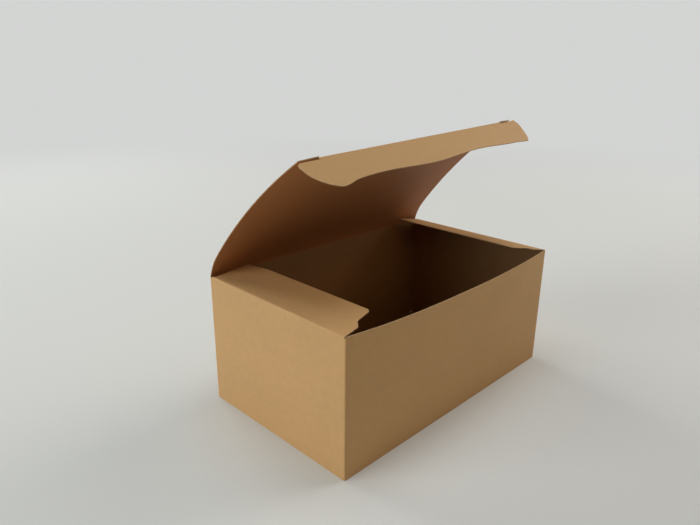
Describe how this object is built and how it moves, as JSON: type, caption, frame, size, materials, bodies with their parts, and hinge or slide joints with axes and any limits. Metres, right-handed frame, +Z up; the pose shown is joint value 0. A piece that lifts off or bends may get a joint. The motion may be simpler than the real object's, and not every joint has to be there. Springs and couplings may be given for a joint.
{
  "type": "takeaway box",
  "caption": "Folding takeaway carton of kraft board with a bowed tuck lid standing open, a tuck flap with slit tabs, dust flaps and a crash-lock bottom.",
  "frame": {"origin": "centre of the footprint, on the underside of the base", "axes": "+X to the right of someone facing the front wall, the front wall faces -Y, the lid hangs on the back wall at +Y, +Z up"},
  "size_m": [0.1814, 0.1101, 0.1524],
  "materials": {
    "kraft_carton": "matte kraft board",
    "kraft_lid": "matte kraft board",
    "kraft_tuck": "matte kraft board"
  },
  "bodies": {
    "carton": {"carton_body": "kraft_carton"},
    "lid": {"lid_panel": "kraft_lid"},
    "tuck": {"tuck_flap": "kraft_tuck"}
  },
  "joints": [
    {"name": "lid_hinge", "type": "hinge", "parent": "carton", "child": "lid", "pos_m": [0, 0.05228, 0.07477], "axis": [-1, 0, 0], "range_deg": [-18, 135]},
    {"name": "tuck_hinge", "type": "hinge", "parent": "lid", "child": "tuck", "pos_m": [0, -0.02048, 0.14927], "axis": [0.9993, 0.0258, 0.0252], "range_deg": [-59.5, 35]}
  ]
}
